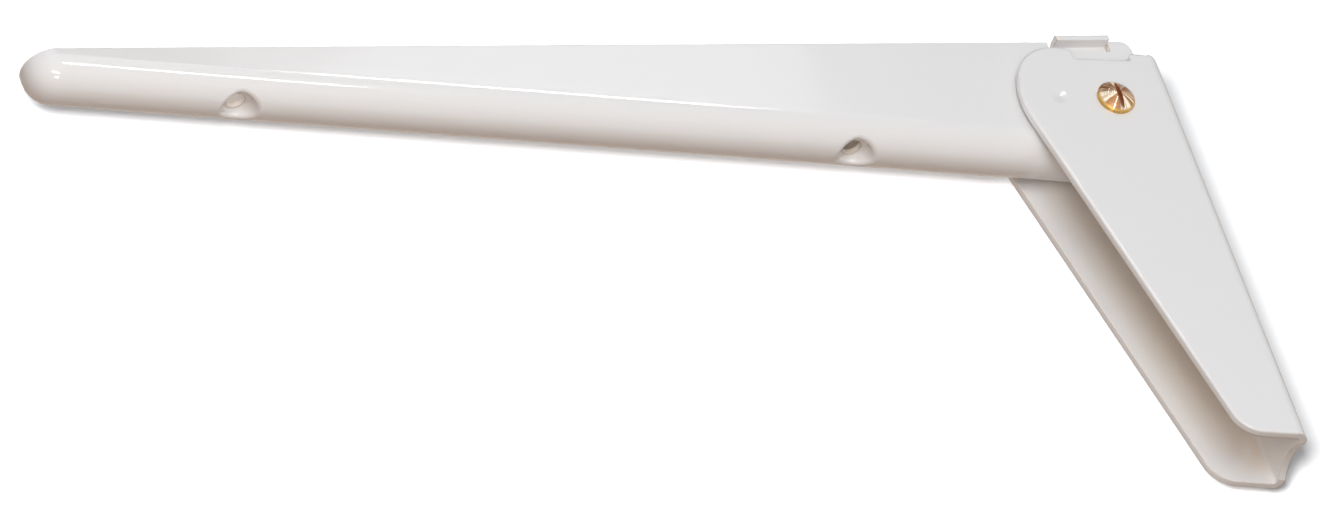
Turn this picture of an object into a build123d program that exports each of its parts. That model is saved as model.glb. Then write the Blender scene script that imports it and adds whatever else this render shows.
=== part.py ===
"""Folding shelf bracket: a pressed support arm hinged between the cheeks of a wall bracket.

Millimetres. +X points out from the wall, +Z up and Y across. The origin is on the wall
face, level with the pivot. The arm stands open and level, its lips just over the notches.
"""

import os
from math import acos, cos, degrees, radians, sin, sqrt, tan

from build123d import *

# Wall bracket: one sheet folded into a channel, its web on the wall
bracket_sheet = 2.0
bracket_bend = 1.0
bracket_edge_round = 0.5
pivot_reach = 16.6
cheek_top = 13.8
cheek_drop = 107.2
head_radius = 25.0
crest_radius = 12.1
crest_angle = 22.5
front_lean = 13.3
foot_slope = 5.5
foot_round = 8.0
foot_arch_rise = 1.8
foot_arch_width = 14.0
top_slope = 7.0
top_round = 2.8
notch_rear = 8.0
notch_length = 15.3
notch_depth = 2.2
notch_slope = 2.8
notch_round = 0.8

# Wall screws through the web
wall_screw_hole = 5.5
wall_screw_land = 0.8
wall_screw_head_angle = 82.0
wall_screw_first = 34.0
wall_screw_spacing = 56.0

# Support arm: one sheet pressed into a tapering trough with a bowed nose, its heel cut off slantwise
arm_width = 15.0
arm_sheet = 1.5
arm_tip = 300.0
arm_top = 21.2
arm_taper = 5.8
arm_rim_round = 0.35
nose_rim = 2.0
heel_gap = 2.7
heel_top_round = 2.8
heel_cut = 9.5

# Lips folded out of the arm's walls, which drop into the notches when the arm is locked
lip_clearance = 0.9
lip_lead = 2.9
lip_drop = 0.5
lip_bend = 0.4
lip_relief = 1.0

# Shelf screws through dimples in the trough's underside
shelf_screw_hole = 5.0
shelf_screw_inset = 53.5
shelf_screw_spacing = 160.0
dimple_mouth = 9.4
dimple_floor = 7.2
dimple_depth = 3.5
dimple_round = 1.1
dimple_floor_cut = 0.5

# Pivot: slotted brass screw, spacer sleeve, washer and thin nut
screw_diameter = 5.0
screw_length = 25.0
screw_end_chamfer = 0.5
head_diameter = 9.6
head_side = 0.9
head_height = 2.8
driver_slot_width = 1.3
driver_slot_depth = 1.4
sleeve_diameter = 6.6
washer_diameter = 10.0
washer_thickness = 1.0
nut_flats = 8.0
nut_height = 2.7
nut_chamfer_angle = 30.0

# Fits and travel
arm_play = 1.0
running_clearance = 0.05
sleeve_end_clearance = 0.1
fold_lift = 10.2

# Places that follow from the sizes above
half_arm = arm_width / 2
half_gap = half_arm + arm_play
half_bracket = half_gap + bracket_sheet
notch_front = notch_rear + notch_length
nose_x = arm_tip - half_arm
nose_z = arm_top - nose_rim
heel_x = bracket_sheet + heel_gap
lip_front = notch_front + lip_lead
lip_rear = lip_front - (notch_length - lip_clearance)
lip_top = arm_top - lip_drop
lip_underside = lip_top - arm_sheet
lip_foot = lip_underside - lip_bend - lip_relief
shelf_screw_places = [arm_tip - shelf_screw_inset - shelf_screw_spacing, arm_tip - shelf_screw_inset]
wall_screw_places = [-wall_screw_first, -wall_screw_first - wall_screw_spacing]
screw_axis = Axis((pivot_reach, 0, 0), (0, 1, 0))


def rise(run, slope):
    """Height gained over a run at a slope in degrees."""
    return run * tan(radians(slope))


def arm_underside(x):
    """Height of the trough's lowest line at x."""
    return nose_z - rise(nose_x - x, arm_taper) - half_arm / cos(radians(arm_taper))


# Corners of a cheek's notch
notch_top_rear = cheek_top + rise(notch_rear, top_slope)
notch_floor_rear = notch_top_rear - notch_depth
notch_floor_front = notch_floor_rear + rise(notch_length, notch_slope)

# Front edge of a cheek: a straight run tangent to the head's arc about the pivot
lean = radians(front_lean)
foot_x = (head_radius + pivot_reach * cos(lean) - cheek_drop * sin(lean)) / (
    cos(lean) - rise(1, foot_slope) * sin(lean)
)
foot_z = rise(foot_x, foot_slope) - cheek_drop
head_start_x = pivot_reach + head_radius * cos(lean)
head_start_z = -head_radius * sin(lean)

# Crest: a smaller arc inside the head's arc, touching it at the crest angle
crest_x = pivot_reach + (head_radius - crest_radius) * cos(radians(crest_angle))
crest_z = (head_radius - crest_radius) * sin(radians(crest_angle))
crest_end_angle = degrees(acos((notch_front - crest_x) / crest_radius))
crest_end_z = crest_z + sqrt(crest_radius**2 - (notch_front - crest_x) ** 2)
bracket_height = cheek_drop + head_radius


def round_corner(sketch, x, z, radius):
    """Round the corner of the open sketch that lies nearest to (x, z)."""
    fillet(sketch.vertices().sort_by_distance((x, z))[0], radius=radius)


# Outline of a cheek and of the whole folded sheet, seen from the side
with BuildSketch(Plane.XZ) as outline:
    with BuildLine():
        Polyline(
            (notch_front, crest_end_z),
            (notch_front, notch_floor_front),
            (notch_rear, notch_floor_rear),
            (notch_rear, notch_top_rear),
            (0, cheek_top),
            (0, -cheek_drop),
            (foot_x, foot_z),
            (head_start_x, head_start_z),
        )
        CenterArc((pivot_reach, 0), head_radius, -front_lean, front_lean + crest_angle)
        CenterArc((crest_x, crest_z), crest_radius, crest_angle, crest_end_angle - crest_angle)
    make_face()
    round_corner(outline, 0, cheek_top, top_round)
    round_corner(outline, foot_x, foot_z, foot_round)
    round_corner(outline, notch_rear, notch_top_rear, notch_round)
    round_corner(outline, notch_rear, notch_floor_rear, notch_round)
    round_corner(outline, notch_front, notch_floor_front, notch_round)
    round_corner(outline, notch_front, crest_end_z, notch_round)

# Flat cheek on the +Y side, its sheared edges rounded by the enamel
fold_end = bracket_sheet + bracket_bend
with BuildPart() as cheek:
    with BuildSketch(Plane.XZ.offset(-half_bracket)):
        add(outline.sketch_local)
        with Locations((fold_end - bracket_height, 0)):
            Rectangle(2 * bracket_height, 2 * bracket_height, mode=Mode.SUBTRACT)
    extrude(amount=bracket_sheet)
    outer_edges = cheek.faces().sort_by(Axis.Y)[-1].edges()
    fillet(outer_edges.sort_by(Axis.X)[1:], radius=bracket_edge_round)

# Wall bracket
with BuildPart() as wall_bracket:
    # Web and folds, seen from above
    with BuildSketch(Plane.XY.offset(-cheek_drop)) as folds:
        with Locations((head_radius, 0)):
            Rectangle(2 * head_radius, 2 * half_bracket)
        fillet(folds.vertices().group_by(Axis.X)[0], radius=fold_end)
        with BuildSketch(mode=Mode.PRIVATE) as hollow:
            with Locations((bracket_sheet + head_radius, 0)):
                Rectangle(2 * head_radius, 2 * half_gap)
            fillet(hollow.vertices().group_by(Axis.X)[0], radius=bracket_bend)
        add(hollow.sketch, mode=Mode.SUBTRACT)
    extrude(amount=bracket_height)
    with BuildSketch(Plane.XZ):
        add(outline.sketch_local)
        with Locations((fold_end + bracket_height, 0)):
            Rectangle(2 * bracket_height, 4 * bracket_height, mode=Mode.SUBTRACT)
    extrude(amount=half_bracket, both=True, mode=Mode.INTERSECT)
    add(cheek.part)
    mirror(cheek.part, about=Plane.XZ)

    # Pivot hole
    with BuildSketch(Plane.XZ):
        with Locations((pivot_reach, 0)):
            Circle(screw_diameter / 2 + running_clearance)
    extrude(amount=half_bracket, both=True, mode=Mode.SUBTRACT)

    # Arched lower edge of the web
    arch_radius = (foot_arch_width**2 / 4 + foot_arch_rise**2) / (2 * foot_arch_rise)
    with BuildSketch(Plane.YZ):
        with Locations((0, foot_arch_rise - cheek_drop - arch_radius)):
            Circle(arch_radius)
    extrude(amount=bracket_sheet, mode=Mode.SUBTRACT)

    # Countersunk wall screw holes
    with Locations(*[Plane((bracket_sheet, 0, z), z_dir=(1, 0, 0)) for z in wall_screw_places]):
        CounterSinkHole(
            wall_screw_hole / 2,
            wall_screw_hole / 2 + rise(bracket_sheet - wall_screw_land, wall_screw_head_angle / 2),
            bracket_sheet,
            wall_screw_head_angle,
        )
wall_bracket.part.label = "wall_bracket"


def trough(radius):
    """Tapering half-round trough and its bowed nose, in the open part, filled to the top."""
    tall = 2 * (arm_top - arm_underside(heel_x))
    nose_end = Plane(
        (nose_x, 0, nose_z),
        x_dir=(0, -1, 0),
        z_dir=(-cos(radians(arm_taper)), 0, -sin(radians(arm_taper))),
    )
    with BuildSketch(nose_end) as section:
        Circle(radius)
        with Locations((0, tall / 2)):
            Rectangle(2 * radius, tall)
    extrude(section.sketch, amount=arm_tip)
    with BuildSketch(Plane.XZ) as nose:
        with BuildLine():
            RadiusArc((nose_x, nose_z - radius), (nose_x + radius, nose_z), -radius)
            Polyline(
                (nose_x + radius, nose_z),
                (nose_x + radius, nose_z + tall),
                (nose_x, nose_z + tall),
                (nose_x, nose_z - radius),
            )
        make_face()
    revolve(nose.sketch, axis=Axis((nose_x, 0, 0), (0, 0, 1)))
    with BuildSketch(Plane.XY.offset(nose_z)) as shoulder:
        with Locations((nose_x - radius / 2, 0)):
            Rectangle(radius, 2 * radius)
    extrude(shoulder.sketch, amount=tall)


def dimple(x, wall):
    """Screw dimple at x, in the open part, from under the trough up to its floor."""
    low = arm_underside(x) - dimple_depth
    high = arm_underside(x) + dimple_depth
    flare = (dimple_mouth - dimple_floor) / 2
    with BuildSketch(Plane.XZ) as half:
        with BuildLine():
            Polyline(
                (x, low),
                (x + dimple_mouth / 2 + flare + wall, low),
                (x + dimple_floor / 2 + wall, high + wall),
                (x, high + wall),
                close=True,
            )
        make_face()
        floor_corner = half.vertices().sort_by_distance((x + dimple_floor / 2 + wall, high + wall))[0]
        chamfer(floor_corner, length=dimple_floor_cut)
    revolve(half.sketch, axis=Axis((x, 0, 0), (0, 0, 1)))


# Space inside the arm, with the dimples standing up in it
with BuildPart() as arm_hollow:
    trough(half_arm - arm_sheet)
with BuildPart() as dimple_bosses:
    for place in shelf_screw_places:
        dimple(place, arm_sheet)
with BuildPart() as dimple_cups:
    for place in shelf_screw_places:
        dimple(place, 0)

# Support arm
with BuildPart() as support_arm:
    trough(half_arm)
    add(dimple_cups.part, mode=Mode.SUBTRACT)
    fillet(support_arm.edges(Select.LAST).filter_by(GeomType.BSPLINE), radius=dimple_round)
    add(arm_hollow.part - dimple_bosses.part, mode=Mode.SUBTRACT)

    # Side outline: level top, heel rounded above and cut off below
    heel_low = arm_underside(heel_x)
    with BuildSketch(Plane.XZ) as side:
        with BuildLine():
            Polyline(
                (heel_x, arm_top),
                (heel_x, heel_low - heel_gap),
                (arm_tip + heel_gap, heel_low - heel_gap + rise(arm_tip + heel_gap - heel_x, arm_taper)),
                (arm_tip + heel_gap, arm_top),
                close=True,
            )
        make_face()
        round_corner(side, heel_x, arm_top, heel_top_round)
        chamfer(side.vertices().sort_by_distance((heel_x, heel_low - heel_gap))[0], length=heel_cut)
    extrude(amount=arm_width, both=True, mode=Mode.INTERSECT)

    # Shelf screw holes
    with BuildSketch(Plane.XY.offset(arm_underside(heel_x))):
        with Locations(*[(place, 0) for place in shelf_screw_places]):
            Circle(shelf_screw_hole / 2)
    extrude(amount=arm_top - arm_underside(heel_x), mode=Mode.SUBTRACT)

    # Lips, folded outwards over the cheeks
    with BuildSketch(Plane.XY.offset(lip_foot)):
        with Locations(((lip_front + lip_rear) / 2, 0)):
            Rectangle(lip_front - lip_rear + 2 * lip_relief, arm_width)
    extrude(amount=arm_top - lip_foot, mode=Mode.SUBTRACT)
    with BuildSketch(Plane.YZ.offset(lip_rear)) as lip:
        with BuildLine():
            Polyline(
                (half_arm - arm_sheet, lip_foot),
                (half_arm - arm_sheet, lip_top),
                (half_bracket, lip_top),
                (half_bracket, lip_underside),
                (half_arm, lip_underside),
                (half_arm, lip_foot),
                close=True,
            )
        make_face()
        round_corner(lip, half_arm - arm_sheet, lip_top, arm_sheet + lip_bend)
        round_corner(lip, half_arm, lip_underside, lip_bend)
        round_corner(lip, half_bracket, lip_top, arm_rim_round)
        round_corner(lip, half_bracket, lip_underside, arm_rim_round)
        mirror(about=Plane.YZ)
    extrude(amount=lip_front - lip_rear)

    # Slot for the pivot: down for the lift, up and forwards for the drop into the notches
    slot_width = sleeve_diameter + 2 * running_clearance
    lock_drop = lip_underside - notch_floor_front
    with BuildSketch(Plane.XZ):
        with Locations((pivot_reach, -fold_lift / 2)):
            SlotCenterToCenter(fold_lift, slot_width, rotation=90)
        SlotCenterPoint(
            (pivot_reach + lip_lead / 2, lock_drop / 2),
            (pivot_reach + lip_lead, lock_drop),
            slot_width,
        )
    extrude(amount=arm_width, both=True, mode=Mode.SUBTRACT)

    # Softened rim
    fillet(support_arm.faces().group_by(Axis.Z)[-1].edges(), radius=arm_rim_round)
support_arm.part.label = "support_arm"

# Pivot screw: slotted head on the +Y cheek
with BuildPart() as pivot_screw:
    with BuildSketch(Plane.XY):
        with BuildLine():
            shank_end = half_bracket - screw_length
            Polyline(
                (pivot_reach, half_bracket + head_height),
                (pivot_reach, shank_end),
                (pivot_reach + screw_diameter / 2 - screw_end_chamfer, shank_end),
                (pivot_reach + screw_diameter / 2, shank_end + screw_end_chamfer),
                (pivot_reach + screw_diameter / 2, half_bracket),
                (pivot_reach + head_diameter / 2, half_bracket),
                (pivot_reach + head_diameter / 2, half_bracket + head_side),
            )
            TangentArc(
                (pivot_reach, half_bracket + head_height),
                (pivot_reach + head_diameter / 2, half_bracket + head_side),
                tangent=(1, 0),
                tangent_from_first=True,
            )
        make_face()
    revolve(axis=screw_axis)
    with BuildSketch(Plane.XZ.offset(-half_bracket - head_height)):
        with Locations((pivot_reach, 0)):
            Rectangle(driver_slot_width, head_diameter)
    extrude(amount=driver_slot_depth, mode=Mode.SUBTRACT)
pivot_screw.part.label = "pivot_screw"

# Spacer sleeve round the screw, on which the arm's slot slides
with BuildPart() as pivot_sleeve:
    with BuildSketch(Plane.XZ):
        with Locations((pivot_reach, 0)):
            Circle(sleeve_diameter / 2)
            Circle(screw_diameter / 2 + running_clearance, mode=Mode.SUBTRACT)
    extrude(amount=half_gap - sleeve_end_clearance, both=True)
pivot_sleeve.part.label = "pivot_sleeve"

# Washer on the far cheek
with BuildPart() as pivot_washer:
    with BuildSketch(Plane.XZ.offset(half_bracket)):
        with Locations((pivot_reach, 0)):
            Circle(washer_diameter / 2)
            Circle(screw_diameter / 2 + running_clearance, mode=Mode.SUBTRACT)
    extrude(amount=washer_thickness)
pivot_washer.part.label = "pivot_washer"

# Thin hexagon nut
with BuildPart() as pivot_nut:
    with BuildSketch(Plane.XZ.offset(half_bracket + washer_thickness)):
        with Locations((pivot_reach, 0)):
            RegularPolygon(nut_flats / 2, 6, major_radius=False)
    extrude(amount=nut_height)
    nut_corner = nut_flats / 2 / cos(radians(30))
    nut_bevel = rise(nut_corner - nut_flats / 2, nut_chamfer_angle)
    nut_inner = -half_bracket - washer_thickness
    nut_outer = nut_inner - nut_height
    with BuildSketch(Plane.XY):
        with BuildLine():
            Polyline(
                (pivot_reach, nut_inner),
                (pivot_reach + nut_flats / 2, nut_inner),
                (pivot_reach + nut_corner, nut_inner - nut_bevel),
                (pivot_reach + nut_corner, nut_outer + nut_bevel),
                (pivot_reach + nut_flats / 2, nut_outer),
                (pivot_reach, nut_outer),
                close=True,
            )
        make_face()
    revolve(axis=screw_axis, mode=Mode.INTERSECT)
    with BuildSketch(Plane.XZ.offset(-nut_inner)):
        with Locations((pivot_reach, 0)):
            Circle(screw_diameter / 2 + running_clearance)
    extrude(amount=nut_height, mode=Mode.SUBTRACT)
pivot_nut.part.label = "pivot_nut"

os.makedirs("parts", exist_ok=True)
for piece in (wall_bracket, support_arm, pivot_screw, pivot_sleeve, pivot_washer, pivot_nut):
    export_step(piece.part, f"parts/{piece.part.label}.step")
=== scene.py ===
"""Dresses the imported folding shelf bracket: gloss enamel, brass and zinc, and a plain studio."""

from math import cos, pi, radians, sin

import bpy
from bpy.props import FloatProperty, FloatVectorProperty, PointerProperty
from mathutils import Matrix, Vector


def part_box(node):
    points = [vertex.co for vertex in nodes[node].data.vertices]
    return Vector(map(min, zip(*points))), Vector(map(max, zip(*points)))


bl_info = {
    "name": "Folding Shelf Bracket",
    "version": (1, 0, 0),
    "blender": (4, 5, 0),
    "location": "View3D > Sidebar > Shelf Bracket",
    "description": "Finishes and studio for a folding shelf bracket",
    "category": "Object",
}

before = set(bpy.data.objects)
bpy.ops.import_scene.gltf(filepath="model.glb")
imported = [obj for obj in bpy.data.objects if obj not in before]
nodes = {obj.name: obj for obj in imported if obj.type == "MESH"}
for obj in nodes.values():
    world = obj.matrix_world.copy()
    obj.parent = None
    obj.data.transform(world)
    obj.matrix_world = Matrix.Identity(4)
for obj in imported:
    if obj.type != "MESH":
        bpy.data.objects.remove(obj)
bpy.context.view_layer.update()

# Places on the solids. Lengths are in metres, apart from the lens and the sensor.
screw_low, screw_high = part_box("pivot_screw")
PIVOT_X = (screw_low.x + screw_high.x) / 2
HEAD_RADIUS = (screw_high.x - screw_low.x) / 2
SCREW_END = screw_low.y
CHEEK_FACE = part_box("wall_bracket")[1].y


# ---------------------------------------------------------------- shader building


# Rays that the recess and soft edge nodes send out from each point.
FEELERS = 8


class Value:
    """A number that varies over a surface. Arithmetic on it adds Math nodes."""

    def __init__(self, finish, socket):
        self.finish = finish
        self.socket = socket

    def _math(self, operation, first, second):
        made = self.finish.node("ShaderNodeMath", {"operation": operation}, {0: first, 1: second})
        return Value(self.finish, made.outputs[0])

    def __add__(self, other):
        return self._math("ADD", self, other)

    def __radd__(self, other):
        return self._math("ADD", other, self)

    def __sub__(self, other):
        return self._math("SUBTRACT", self, other)

    def __rsub__(self, other):
        return self._math("SUBTRACT", other, self)

    def __mul__(self, other):
        return self._math("MULTIPLY", self, other)

    def __rmul__(self, other):
        return self._math("MULTIPLY", other, self)

    def __truediv__(self, other):
        return self._math("DIVIDE", self, other)

    def __rtruediv__(self, other):
        return self._math("DIVIDE", other, self)

    def __pow__(self, other):
        return self._math("POWER", self, other)

    def __rpow__(self, other):
        return self._math("POWER", other, self)

    def clipped(self, low, high, shape="SMOOTHSTEP"):
        """This value spread from low..high to 0..1 and held there."""
        made = self.finish.node(
            "ShaderNodeMapRange",
            {"interpolation_type": shape, "clamp": True},
            {"Value": self, "From Min": low, "From Max": high},
        )
        return Value(self.finish, made.outputs["Result"])


class Finish:
    """A material or world being built out of nodes."""

    def __init__(self, owner):
        owner.use_nodes = True
        self.tree = owner.node_tree
        self.tree.nodes.clear()

    def node(self, kind, settings, values):
        """Adds a node: its settings first, then the values or links of its sockets."""
        made = self.tree.nodes.new(kind)
        for name, setting in settings.items():
            setattr(made, name, setting)
        for key, value in values.items():
            socket = made.inputs[key]
            if isinstance(value, Value):
                value = value.socket
            if isinstance(value, bpy.types.NodeSocket):
                self.tree.links.new(value, socket)
            else:
                socket.default_value = value
        return made

    def place(self):
        """Coordinates fixed to the piece."""
        return self.node("ShaderNodeTexCoord", {}, {}).outputs["Object"]

    def stretched(self, place, scale):
        """Coordinates scaled by a different amount along each axis."""
        made = self.node("ShaderNodeVectorMath", {"operation": "MULTIPLY"}, {0: place, 1: scale})
        return made.outputs["Vector"]

    def noise(self, place, scale, detail=2.0, roughness=0.5):
        """Soft random value from 0 to 1, with scale patches to the metre."""
        made = self.node(
            "ShaderNodeTexNoise",
            {},
            {"Vector": place, "Scale": scale, "Detail": detail, "Roughness": roughness},
        )
        return Value(self, made.outputs["Fac"])

    def part_of(self, place, axis):
        """One coordinate of a place."""
        made = self.node("ShaderNodeSeparateXYZ", {}, {"Vector": place})
        return Value(self, made.outputs[axis])

    def distance(self, place, point):
        """How far a place is from a point."""
        made = self.node("ShaderNodeVectorMath", {"operation": "DISTANCE"}, {0: place, 1: point})
        return Value(self, made.outputs["Value"])

    def mixed(self, amount, first, second):
        """Colour between first and second."""
        made = self.node(
            "ShaderNodeMix", {"data_type": "RGBA"}, {0: amount, 6: first, 7: second}
        )
        return made.outputs[2]

    def recess(self, reach, inside=False):
        """1 in the open, towards 0 near a wall; with inside, towards 0 where the sheet is thin."""
        made = self.node(
            "ShaderNodeAmbientOcclusion",
            {"samples": FEELERS, "inside": inside, "only_local": True},
            {"Distance": reach},
        )
        return Value(self, made.outputs["AO"])

    def soft_edges(self, radius):
        """Normals that turn smoothly over the sharp edges."""
        return self.node("ShaderNodeBevel", {"samples": FEELERS}, {"Radius": radius}).outputs[0]

    def bump(self, height, distance, strength=1.0, under=None):
        """Surface relief of the given height value, on top of the relief under it."""
        values = {"Height": height, "Distance": distance, "Strength": strength}
        if under is not None:
            values["Normal"] = under
        return self.node("ShaderNodeBump", {}, values).outputs["Normal"]

    def surface(self, values):
        """Finishes the material with a surface shader."""
        shader = self.node("ShaderNodeBsdfPrincipled", {}, values)
        self.node("ShaderNodeOutputMaterial", {}, {"Surface": shader.outputs[0]})

    def ray(self, kind):
        """1 for rays of one kind, otherwise 0."""
        path = self.node("ShaderNodeLightPath", {}, {})
        return Value(self, path.outputs[f"Is {kind} Ray"])

    def plain_sight(self):
        """1 for rays that see a thing itself: directly, in a mirror or through glass."""
        seen = self.ray("Camera") + self.ray("Glossy") + self.ray("Transmission")
        return seen.clipped(0.0, 1.0)


def colour(triple):
    """Colour with full alpha."""
    return (triple[0], triple[1], triple[2], 1.0)


def dress(node_name, material):
    """Gives a CAD node one finish."""
    node = nodes[node_name]
    if not node.material_slots:
        raise RuntimeError(f"{node_name} has no material slot")
    for slot in node.material_slots:
        slot.material = material


# ---------------------------------------------------------------- sizes and colours


class EnamelSettings(bpy.types.PropertyGroup):
    """White stove enamel on the pressed sheet."""

    colour: FloatVectorProperty(
        name="Colour",
        description="Enamel in the open",
        subtype="COLOR",
        size=3,
        default=(0.812, 0.81, 0.815),
    )
    # Painted warm shade where the channel walls close the enamel in.
    painted_channel_shade: FloatVectorProperty(
        name="Recess colour",
        description="Thicker, warmer enamel in the channels",
        subtype="COLOR",
        size=3,
        default=(0.90, 0.83, 0.75),
    )
    # Painted dark shade at the bottom of the deep channels and in the holes.
    painted_deep_shade: FloatVectorProperty(
        name="Deep colour",
        description="Thin, dull enamel at the bottom of the deep channels",
        subtype="COLOR",
        size=3,
        default=(0.32, 0.26, 0.22),
    )
    # Enamel run thin over the cut edges, together with painted shade along them.
    thin_edge_and_shade: FloatVectorProperty(
        name="Edge colour",
        description="Enamel run thin over the cut edges",
        subtype="COLOR",
        size=3,
        default=(0.56, 0.35, 0.20),
    )
    # How far the thin enamel and its painted edge shade reach in.
    edge_reach: FloatProperty(
        name="Edge reach",
        description="How far the thin enamel reaches in from the bracket's edges",
        unit="LENGTH",
        default=0.00036,
    )
    rim_reach: FloatProperty(
        name="Rim reach",
        description="The same for the arm's thinner sheet",
        unit="LENGTH",
        default=0.0007,
    )
    edge_rounding: FloatProperty(
        name="Edge rounding",
        description="How round the enamel makes the bracket's edges",
        unit="LENGTH",
        default=0.0007,
    )
    roughness: FloatProperty(
        name="Roughness",
        description="Blur of the gloss",
        subtype="FACTOR",
        min=0.0,
        max=1.0,
        default=0.09,
    )
    ripple: FloatProperty(
        name="Ripple",
        description="Height of the orange peel",
        unit="LENGTH",
        default=0.00002,
    )


class MetalSettings(bpy.types.PropertyGroup):
    """Brass of the screw, washer and nut, zinc of the sleeve."""

    # Clean brass, which also gives the painted bright wedges of reflection round the head.
    brass: FloatVectorProperty(
        name="Brass",
        description="Colour of the clean brass",
        subtype="COLOR",
        size=3,
        default=(1.0, 0.90, 0.72),
    )
    # Painted darker wedges of reflection round the head.
    dark_wedge_brass: FloatVectorProperty(
        name="Worn brass",
        description="Duller streaks of the turning",
        subtype="COLOR",
        size=3,
        default=(0.45, 0.23, 0.11),
    )
    rim_brass: FloatVectorProperty(
        name="Rim brass",
        description="Deeper gold round the head",
        subtype="COLOR",
        size=3,
        default=(0.60, 0.37, 0.11),
    )
    tarnish: FloatVectorProperty(
        name="Tarnish",
        description="Darker brass in the slot",
        subtype="COLOR",
        size=3,
        default=(0.34, 0.12, 0.04),
    )
    zinc: FloatVectorProperty(
        name="Zinc",
        description="Colour of the plating",
        subtype="COLOR",
        size=3,
        default=(0.66, 0.67, 0.68),
    )
    turning: FloatProperty(
        name="Turning",
        description="Depth of the lathe's rings",
        unit="LENGTH",
        default=0.00005,
    )
    thread_pitch: FloatProperty(
        name="Thread pitch",
        description="Pitch of the screw thread",
        unit="LENGTH",
        default=0.0008,
    )


class StudioSettings(bpy.types.PropertyGroup):
    """Table, lamps and camera."""

    table_gap: FloatProperty(
        name="Table gap",
        description="Between the table and the end of the screw",
        unit="LENGTH",
        default=0.0012,
    )
    table_size: FloatProperty(
        name="Table size",
        description="Side of the square table",
        unit="LENGTH",
        default=6.0,
    )
    table_colour: FloatVectorProperty(
        name="Table colour",
        description="Table as the eye sees it",
        subtype="COLOR",
        size=3,
        default=(0.82, 0.82, 0.82),
    )
    table_mirrored: FloatVectorProperty(
        name="Table mirrored",
        description="Table as the gloss sees it",
        subtype="COLOR",
        size=3,
        default=(0.32, 0.275, 0.245),
    )
    table_glow: FloatVectorProperty(
        name="Table glow",
        description="Light added to the table as the gloss sees it",
        subtype="COLOR",
        size=3,
        default=(0.13, 0.11, 0.095),
    )
    table_bounce: FloatVectorProperty(
        name="Table bounce",
        description="Table as it lights the bracket",
        subtype="COLOR",
        size=3,
        default=(0.175, 0.125, 0.092),
    )
    room_high: FloatVectorProperty(
        name="Room light above",
        description="Even light from the bright side of the room",
        subtype="COLOR",
        size=3,
        default=(0.345, 0.355, 0.37),
    )
    room_low: FloatVectorProperty(
        name="Room light below",
        description="Even light from the opposite side",
        subtype="COLOR",
        size=3,
        default=(0.20, 0.148, 0.112),
    )
    key_power: FloatProperty(
        name="Key power",
        description="Cool soft lamp in front of the near cheek",
        unit="POWER",
        default=8.9,
    )
    fill_power: FloatProperty(
        name="Fill power",
        description="Warm soft lamp on the camera's side",
        unit="POWER",
        default=7.2,
    )
    rear_power: FloatProperty(
        name="Rear power",
        description="Soft lamp for the far side",
        unit="POWER",
        default=23.0,
    )
    table_power: FloatProperty(
        name="Table power",
        description="Soft lamp on the table alone",
        unit="POWER",
        default=640.0,
    )
    strip_brightness: FloatProperty(
        name="Strip brightness",
        description="Of the narrow lamps that only the gloss sees",
        min=0.0,
        default=1.0,
    )
    lens: FloatProperty(
        name="Lens",
        description="Focal length in millimetres",
        unit="CAMERA",
        default=650.0,
    )
    camera_distance: FloatProperty(
        name="Camera distance",
        description="From the middle of the view",
        unit="LENGTH",
        default=5.784,
    )


class ShelfBracketSettings(bpy.types.PropertyGroup):
    """Everything a user would change."""

    enamel: PointerProperty(type=EnamelSettings, name="Enamel", description="White enamel")
    metal: PointerProperty(type=MetalSettings, name="Metal", description="Brass and zinc")
    studio: PointerProperty(type=StudioSettings, name="Studio", description="Table, lamps, camera")


def settings_of(context):
    """The sizes and colours kept on the scene."""
    return context.scene.shelf_bracket


# ---------------------------------------------------------------- enamel


# Patches to the metre of the enamel's unevenness, from wide sags to fine specks.
CLOUD_SCALE = 60.0
SAG_SCALE = 70.0
PEEL_SCALE = 420.0
SPECK_SCALE = 900.0
FINE_PEEL_SCALE = 1300.0

# How near a wall has to be to shade a place, and the openness over which each shade fades.
CHANNEL_REACH = 0.03
DEEP_RANGE = (0.01, 0.16)
CHANNEL_RANGE = (0.20, 0.62)
EDGE_RANGE = (0.30, 0.75)

ENAMEL_IOR = 1.52
COAT_WEIGHT = 0.7
COAT_ROUGHNESS = 0.035

# Small nick in the near cheek.
DENT_PLACE = (0.0316, CHEEK_FACE, 0.0012)
DENT_RADIUS = 0.0023
DENT_DEPTH = 0.00028


def enamel_colour(enamel, chosen, openness, reach):
    """Enamel with painted shade that darkens it into the channels, and thin enamel with painted
    shade at the edges within reach.
    """
    # Thin enamel and painted shade along the edges.
    body = enamel.recess(reach, inside=True).clipped(*EDGE_RANGE)
    # Painted warm shade where the channel walls close a place in.
    in_light = openness.clipped(*CHANNEL_RANGE)
    channel_shaded = enamel.mixed(in_light, colour(chosen.painted_channel_shade), colour(chosen.colour))
    # Painted dark shade at the bottom of the deep channels.
    out_of_deep = openness.clipped(*DEEP_RANGE)
    shaded = enamel.mixed(out_of_deep, colour(chosen.painted_deep_shade), channel_shaded)
    return enamel.mixed(body, colour(chosen.thin_edge_and_shade), shaded)


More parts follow.
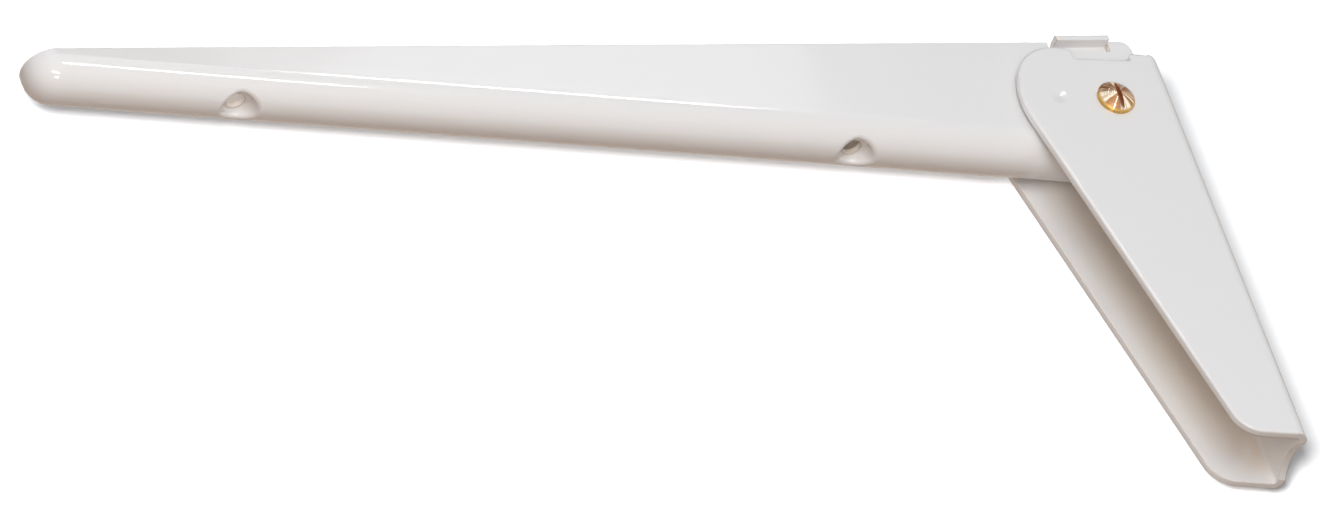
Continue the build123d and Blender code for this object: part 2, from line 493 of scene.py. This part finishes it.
def enamel_finish(name, chosen, on_bracket):
    """Glossy white enamel; the bracket's has soft edges and the dent as well."""
    material = bpy.data.materials.new(name)
    enamel = Finish(material)
    place = enamel.place()
    cloud = enamel.noise(place, CLOUD_SCALE, 3.0)
    speck = enamel.noise(place, SPECK_SCALE)
    openness = enamel.recess(CHANNEL_REACH) + 0.06 * (cloud - 0.5)
    peel = enamel.noise(place, PEEL_SCALE) + 0.35 * enamel.noise(place, FINE_PEEL_SCALE, 1.0)
    sag = enamel.noise(place, SAG_SCALE, 1.0)
    edges = enamel.soft_edges(chosen.edge_rounding) if on_bracket else None
    sagged = enamel.bump(sag, 6 * chosen.ripple, 0.5, edges)
    relief = enamel.bump(peel, chosen.ripple, 0.5, sagged)
    if on_bracket:
        dent = enamel.distance(place, DENT_PLACE).clipped(0.0, DENT_RADIUS, "LINEAR")
        relief = enamel.bump(dent, DENT_DEPTH, 1.0, relief)
    reach = chosen.edge_reach if on_bracket else chosen.rim_reach
    enamel.surface(
        {
            "Base Color": enamel_colour(enamel, chosen, openness, reach),
            "Roughness": chosen.roughness + 0.05 * (cloud - 0.5) + 0.03 * (speck - 0.5),
            "IOR": ENAMEL_IOR,
            "Normal": relief,
            "Coat Weight": COAT_WEIGHT * openness,
            "Coat Roughness": COAT_ROUGHNESS,
        }
    )
    return material


# ---------------------------------------------------------------- brass and zinc


# Patches to the metre, apart from the painted wedges of reflection, which are set out on a circle
# of radius 1.
BRASS_CLOUD_SCALE = 260.0
SCRATCH_SCALE = 2600.0
RING_SCALE = 5200.0
WEDGE_SCALE = 3.4

SLOT_REACH = 0.003
CLEAN_RANGE = (0.35, 0.85)
WEDGE_RANGE = (0.44, 0.55)
RIM_RANGE = (HEAD_RADIUS - 0.0007, HEAD_RADIUS - 0.0001)

# The thread rises to its full depth over a short way behind the cheek's face.
THREAD_RANGE = (CHEEK_FACE, CHEEK_FACE - 0.0004)

ZINC_CLOUD_SCALE = 500.0
GRAIN_STRETCH = (300.0, 9000.0, 300.0)
GRAIN_DEPTH = 0.000008


def turned_brass(brass, place):
    """The lathe's rings with fine scratches, the painted wedges of reflection round the head, and
    the radius.
    """
    x = brass.part_of(place, "X") - PIVOT_X
    z = brass.part_of(place, "Z")
    radius = (x * x + z * z) ** 0.5
    rings = brass.node(
        "ShaderNodeTexNoise",
        {"noise_dimensions": "1D"},
        {"W": radius, "Scale": RING_SCALE, "Detail": 2.0},
    )
    scratches = brass.noise(place, SCRATCH_SCALE, 3.0, 0.65)
    turned = Value(brass, rings.outputs["Fac"]) + 0.25 * scratches
    around = brass.node("ShaderNodeCombineXYZ", {}, {"X": x / radius, "Z": z / radius})
    reflection_wedges = brass.noise(around.outputs["Vector"], WEDGE_SCALE)
    return turned, reflection_wedges, radius


def thread_relief(brass, chosen, place):
    """Height of the screw thread along the shank."""
    along = brass.part_of(place, "Y")
    wave = brass.node(
        "ShaderNodeMath",
        {"operation": "PINGPONG"},
        {0: along, 1: chosen.thread_pitch / 2},
    )
    return Value(brass, wave.outputs[0]) * along.clipped(*THREAD_RANGE)


def brass_finish(name, chosen, threaded):
    """Turned and polished brass with painted wedges of reflection; threaded pieces get their thread
    in the relief.
    """
    material = bpy.data.materials.new(name)
    brass = Finish(material)
    place = brass.place()
    cloud = brass.noise(place, BRASS_CLOUD_SCALE, 3.0)
    turned, reflection_wedges, radius = turned_brass(brass, place)
    clean = (brass.recess(SLOT_REACH) + 0.2 * (cloud - 0.5)).clipped(*CLEAN_RANGE)
    # Painted bright and dark wedges of reflection round the head.
    bright = clean * reflection_wedges.clipped(*WEDGE_RANGE)
    wedged = brass.mixed(bright, colour(chosen.dark_wedge_brass), colour(chosen.brass))
    rimmed = brass.mixed(radius.clipped(*RIM_RANGE), wedged, colour(chosen.rim_brass))
    relief = brass.bump(turned, chosen.turning)
    if threaded:
        relief = brass.bump(thread_relief(brass, chosen, place), 1.0, 0.8, relief)
    brass.surface(
        {
            "Base Color": brass.mixed(clean, colour(chosen.tarnish), rimmed),
            "Metallic": 0.3 + 0.7 * clean,
            "Roughness": 0.20 + 0.10 * (cloud - 0.5) + 0.15 * (1 - bright),
            "Normal": relief,
        }
    )
    return material


def zinc_finish(name, chosen):
    """Bright zinc plating with a faint turned grain."""
    material = bpy.data.materials.new(name)
    zinc = Finish(material)
    place = zinc.place()
    grain = zinc.noise(zinc.stretched(place, GRAIN_STRETCH), 1.0)
    cloud = zinc.noise(place, ZINC_CLOUD_SCALE)
    dull = colour([0.8 * part for part in chosen.zinc])
    zinc.surface(
        {
            "Base Color": zinc.mixed(cloud, dull, colour(chosen.zinc)),
            "Metallic": 1.0,
            "Roughness": 0.28 + 0.12 * (cloud - 0.5) + 0.1 * (grain - 0.5),
            "Normal": zinc.bump(grain, GRAIN_DEPTH, 0.4),
        }
    )
    return material


# ---------------------------------------------------------------- pieces


class BRACKET_OT_wall_bracket(bpy.types.Operator):
    """Enamels the folded wall bracket"""

    bl_idname = "shelf_bracket.wall_bracket"
    bl_label = "Wall Bracket"

    def execute(self, context):
        enamel = settings_of(context).enamel
        dress("wall_bracket", enamel_finish("cheek_enamel", enamel, on_bracket=True))
        return {"FINISHED"}


class BRACKET_OT_support_arm(bpy.types.Operator):
    """Enamels the pressed support arm"""

    bl_idname = "shelf_bracket.support_arm"
    bl_label = "Support Arm"

    def execute(self, context):
        enamel = settings_of(context).enamel
        dress("support_arm", enamel_finish("arm_enamel", enamel, on_bracket=False))
        return {"FINISHED"}


class BRACKET_OT_pivot(bpy.types.Operator):
    """Finishes the pivot screw, sleeve, washer and nut"""

    bl_idname = "shelf_bracket.pivot"
    bl_label = "Pivot"

    def execute(self, context):
        metal = settings_of(context).metal
        dress("pivot_screw", brass_finish("screw_brass", metal, threaded=True))
        plain_brass = brass_finish("nut_brass", metal, threaded=False)
        dress("pivot_nut", plain_brass)
        dress("pivot_washer", plain_brass)
        dress("pivot_sleeve", zinc_finish("sleeve_zinc", metal))
        return {"FINISHED"}


# ---------------------------------------------------------------- camera


# Where the camera stands as seen from the view's middle, and how it is tilted, in degrees.
VIEW_AZIMUTH = 147.428
VIEW_ELEVATION = -35.497
VIEW_ROLL = -20.931
VIEW_MIDDLE = Vector((0.1484, 0.0, -0.0414))

# Width of the camera's sensor in millimetres.
SENSOR_WIDTH = 36.0


def view_axes():
    """Right, up and back of the camera."""
    azimuth = radians(VIEW_AZIMUTH)
    elevation = radians(VIEW_ELEVATION)
    roll = radians(VIEW_ROLL)
    back = Vector(
        (sin(azimuth) * cos(elevation), -cos(azimuth) * cos(elevation), sin(elevation))
    )
    level = Vector((0, 0, 1)).cross(back).normalized()
    upright = back.cross(level)
    right = cos(roll) * level + sin(roll) * upright
    up = cos(roll) * upright - sin(roll) * level
    return right, up, back


def placed(place, right, up, back):
    """Placing of a thing at a point, with its own axes along the three given."""
    return Matrix.Translation(place) @ Matrix((right, up, back)).transposed().to_4x4()


def facing(place, target, up=(0, 0, 1)):
    """Placing of a flat thing at a point, so that it faces the target."""
    back = (place - target).normalized()
    right = Vector(up).cross(back).normalized()
    return placed(place, right, back.cross(right), back)


def link(made):
    """Puts an object into the scene."""
    bpy.context.scene.collection.objects.link(made)


def add_camera(studio):
    """Long lens aimed at the middle of the bracket from below, on the near cheek's side."""
    right, up, back = view_axes()
    data = bpy.data.cameras.new("camera")
    data.lens = studio.lens
    data.sensor_width = SENSOR_WIDTH
    data.clip_start = 0.1
    data.clip_end = 100.0
    camera = bpy.data.objects.new("camera", data)
    camera.matrix_world = placed(VIEW_MIDDLE + studio.camera_distance * back, right, up, back)
    link(camera)
    bpy.context.scene.camera = camera


# ---------------------------------------------------------------- lamps


PLAIN_WHITE = (1.0, 1.0, 1.0)
COOL_WHITE = (0.96, 0.985, 1.0)
SOFT_WHITE = (0.97, 0.985, 1.0)
WARM_WHITE = (1.0, 0.91, 0.83)

# Where the square soft lamps stand from the view's middle, and how wide they are.
KEY_OFFSET = Vector((0.32, 1.27, -0.26))
LAMP_DISTANCE = 1.5
KEY_SIZE = 0.7
FILL_SIZE = 0.8
REAR_SIZE = 0.3

TABLE_LAMP_DISTANCE = 6.0
TABLE_LAMP_SIZE = 1.25
TABLE_LAMP_LEFT = 0.085
TABLE_LAMP_RISE = 0.12

# Narrow lamps that draw the bright lines in the gloss: first end, last end, width, radiance.
STRIPS = {
    "long_strip": ((-0.172, 0.750, 0.468), (-0.290, 0.755, 0.445), 0.036, 20.0),
    "tip_strip": ((-0.020, 0.900, 0.090), (-0.116, 0.891, -0.076), 0.024, 24.0),
    "nose_strip_upper": ((0.620, 0.780, -0.400), (0.200, 0.755, -0.550), 0.10, 13.0),
    "nose_strip_lower": ((0.470, 0.590, -0.710), (0.240, 0.580, -0.737), 0.10, 13.0),
    "arm_panel": ((-0.310, 0.770, 0.820), (-0.310, 0.770, 0.490), 0.16, 0.8),
}


def add_lamp(name, place, width, height, power, tint, up=(0, 0, 1)):
    """Rectangular lamp facing the view's middle."""
    data = bpy.data.lights.new(name, "AREA")
    data.shape = "RECTANGLE"
    data.size = width
    data.size_y = height
    data.energy = power
    data.color = tint
    lamp = bpy.data.objects.new(name, data)
    lamp.visible_camera = False
    lamp.matrix_world = facing(place, VIEW_MIDDLE, up)
    link(lamp)
    return lamp


def add_soft_lamp(name, offset, size, power, tint, on_table=False):
    """Square lamp that no gloss shows, for the table alone or for all but the table."""
    lamp = add_lamp(name, VIEW_MIDDLE + offset, size, size, power, tint)
    lamp.visible_glossy = False
    lit = bpy.data.collections.new(name)
    lit.objects.link(bpy.data.objects["table"])
    lamp.light_linking.receiver_collection = lit
    lit.collection_objects[0].light_linking.link_state = "INCLUDE" if on_table else "EXCLUDE"


def add_strip(name, first, last, width, radiance):
    """Narrow lamp between two points that only the gloss sees."""
    middle = (first + last) / 2
    along = last - first
    power = pi * radiance * width * along.length
    strip = add_lamp(name, middle, width, along.length, power, PLAIN_WHITE, up=along)
    strip.visible_diffuse = False


def add_lamps(studio):
    """Four soft lamps for the light, then the narrow ones for the gloss."""
    right, up, back = view_axes()
    to_camera = LAMP_DISTANCE * back
    to_table_lamp = TABLE_LAMP_DISTANCE * (back - TABLE_LAMP_LEFT * right + TABLE_LAMP_RISE * up)
    add_soft_lamp("key_lamp", KEY_OFFSET, KEY_SIZE, studio.key_power, COOL_WHITE)
    add_soft_lamp("fill_lamp", to_camera, FILL_SIZE, studio.fill_power, WARM_WHITE)
    add_soft_lamp("rear_lamp", -to_camera, REAR_SIZE, studio.rear_power, PLAIN_WHITE)
    add_soft_lamp(
        "table_lamp", to_table_lamp, TABLE_LAMP_SIZE, studio.table_power, SOFT_WHITE, on_table=True
    )
    for name, (first, last, width, radiance) in STRIPS.items():
        add_strip(name, Vector(first), Vector(last), width, radiance * studio.strip_brightness)


# ---------------------------------------------------------------- room, table and flag


BLACK = (0.0, 0.0, 0.0, 1.0)
WHITE = (1.0, 1.0, 1.0, 1.0)

# Direction of the room's bright side, and over which part of the turn its light fades.
BRIGHT_SIDE = (-0.10, 0.60, 0.79)
FADE_RANGE = (-0.9, 0.7)

MATT = 0.9
TABLE_CLOUD_SCALE = 4.0

FLAG_OFFSET = Vector((-0.45, 0.32, 1.17))
FLAG_WIDTH = 2.0
FLAG_HEIGHT = 1.1
FLAG_CLOUD_SCALE = 3.0
FLAG_DARK = (0.30, 0.17, 0.11, 1.0)
FLAG_PALE = (0.42, 0.26, 0.18, 1.0)


def add_world(studio):
    """White behind everything, and an even light that is weaker and warmer from below."""
    world = bpy.data.worlds.new("studio")
    bpy.context.scene.world = world
    room = Finish(world)
    ray = room.node("ShaderNodeTexCoord", {}, {}).outputs["Generated"]
    side = room.node("ShaderNodeVectorMath", {"operation": "DOT_PRODUCT"}, {0: ray, 1: BRIGHT_SIDE})
    bright = Value(room, side.outputs["Value"]).clipped(*FADE_RANGE)
    shade = room.mixed(bright, colour(studio.room_low), colour(studio.room_high))
    light = room.node("ShaderNodeBackground", {}, {"Color": shade, "Strength": 1.0})
    white = room.node("ShaderNodeBackground", {}, {"Color": WHITE, "Strength": 1.0})
    both = room.node(
        "ShaderNodeMixShader",
        {},
        {0: room.plain_sight(), 1: light.outputs[0], 2: white.outputs[0]},
    )
    room.node("ShaderNodeOutputWorld", {}, {"Surface": both.outputs[0]})


def table_finish(studio):
    """Pale matt table that is clear from behind and holds back no light."""
    material = bpy.data.materials.new("table")
    table = Finish(material)
    cloud = table.noise(table.place(), TABLE_CLOUD_SCALE)
    dull = colour([0.985 * part for part in studio.table_colour])
    pale = table.mixed(cloud, dull, colour(studio.table_colour))
    behind = Value(table, table.node("ShaderNodeNewGeometry", {}, {}).outputs["Backfacing"])
    mirrored = table.ray("Glossy")
    seen = table.mixed(table.plain_sight(), colour(studio.table_bounce), pale)
    lit = table.node(
        "ShaderNodeBsdfPrincipled",
        {},
        {
            "Base Color": table.mixed(mirrored, seen, colour(studio.table_mirrored)),
            "Roughness": MATT,
            "Specular IOR Level": 0.0,
            "Emission Color": table.mixed(mirrored, BLACK, colour(studio.table_glow)),
            "Emission Strength": 1.0,
        },
    )
    clear = table.node("ShaderNodeBsdfTransparent", {}, {})
    hidden = (behind + table.ray("Shadow")).clipped(0.0, 1.0)
    both = table.node(
        "ShaderNodeMixShader", {}, {0: hidden, 1: lit.outputs[0], 2: clear.outputs[0]}
    )
    table.node("ShaderNodeOutputMaterial", {}, {"Surface": both.outputs[0]})
    return material


def add_table(studio):
    """Flat table just behind the screw's end, on which the bracket lies on its side."""
    half = studio.table_size / 2
    left, right = VIEW_MIDDLE.x - half, VIEW_MIDDLE.x + half
    low, high = VIEW_MIDDLE.z - half, VIEW_MIDDLE.z + half
    level = SCREW_END - studio.table_gap
    corners = [(left, level, high), (right, level, high), (right, level, low), (left, level, low)]
    mesh = bpy.data.meshes.new("table")
    mesh.from_pydata(corners, [], [(0, 1, 2, 3)])
    mesh.materials.append(table_finish(studio))
    table = bpy.data.objects.new("table", mesh)
    link(table)


def flag_finish():
    """Dark matt board."""
    material = bpy.data.materials.new("flag")
    board = Finish(material)
    cloud = board.noise(board.place(), FLAG_CLOUD_SCALE)
    board.surface({"Base Color": board.mixed(cloud, FLAG_DARK, FLAG_PALE), "Roughness": MATT})
    return material


def add_flag():
    """Dark board that only the gloss sees, so that the brass has something dark to mirror."""
    right, top = FLAG_WIDTH / 2, FLAG_HEIGHT / 2
    corners = [(-right, -top, 0), (right, -top, 0), (right, top, 0), (-right, top, 0)]
    mesh = bpy.data.meshes.new("flag")
    mesh.from_pydata(corners, [], [(0, 1, 2, 3)])
    mesh.materials.append(flag_finish())
    flag = bpy.data.objects.new("flag", mesh)
    flag.matrix_world = facing(VIEW_MIDDLE + FLAG_OFFSET, VIEW_MIDDLE)
    for sight in ("camera", "diffuse", "transmission", "shadow", "volume_scatter"):
        setattr(flag, f"visible_{sight}", False)
    link(flag)


class BRACKET_OT_stage(bpy.types.Operator):
    """Sets the camera, the room, the table, the flag and the lamps"""

    bl_idname = "shelf_bracket.stage"
    bl_label = "Stage"

    def execute(self, context):
        studio = settings_of(context).studio
        context.scene.view_settings.view_transform = "Standard"
        add_camera(studio)
        add_world(studio)
        add_table(studio)
        add_flag()
        add_lamps(studio)
        return {"FINISHED"}


# ---------------------------------------------------------------- add-on


class BRACKET_PT_panel(bpy.types.Panel):
    """Builds the bracket's looks piece by piece"""

    bl_idname = "BRACKET_PT_panel"
    bl_label = "Shelf Bracket"
    bl_space_type = "VIEW_3D"
    bl_region_type = "UI"
    bl_category = "Shelf Bracket"

    def draw(self, context):
        for operator in OPERATORS:
            self.layout.operator(operator.bl_idname)
        chosen = settings_of(context)
        for group in (chosen.enamel, chosen.metal, chosen.studio):
            box = self.layout.box()
            for name in group.__annotations__:
                box.prop(group, name)


OPERATORS = (
    BRACKET_OT_stage,
    BRACKET_OT_wall_bracket,
    BRACKET_OT_support_arm,
    BRACKET_OT_pivot,
)
CLASSES = (
    EnamelSettings,
    MetalSettings,
    StudioSettings,
    ShelfBracketSettings,
    *OPERATORS,
    BRACKET_PT_panel,
)


def register():
    """Adds the classes and the settings to Blender."""
    for kind in CLASSES:
        bpy.utils.register_class(kind)
    bpy.types.Scene.shelf_bracket = PointerProperty(type=ShelfBracketSettings)


def unregister():
    """Takes them away again."""
    del bpy.types.Scene.shelf_bracket
    for kind in reversed(CLASSES):
        bpy.utils.unregister_class(kind)


def main():
    """Builds everything."""
    register()
    bpy.ops.shelf_bracket.stage()
    bpy.ops.shelf_bracket.wall_bracket()
    bpy.ops.shelf_bracket.support_arm()
    bpy.ops.shelf_bracket.pivot()


if __name__ == "__main__":
    main()
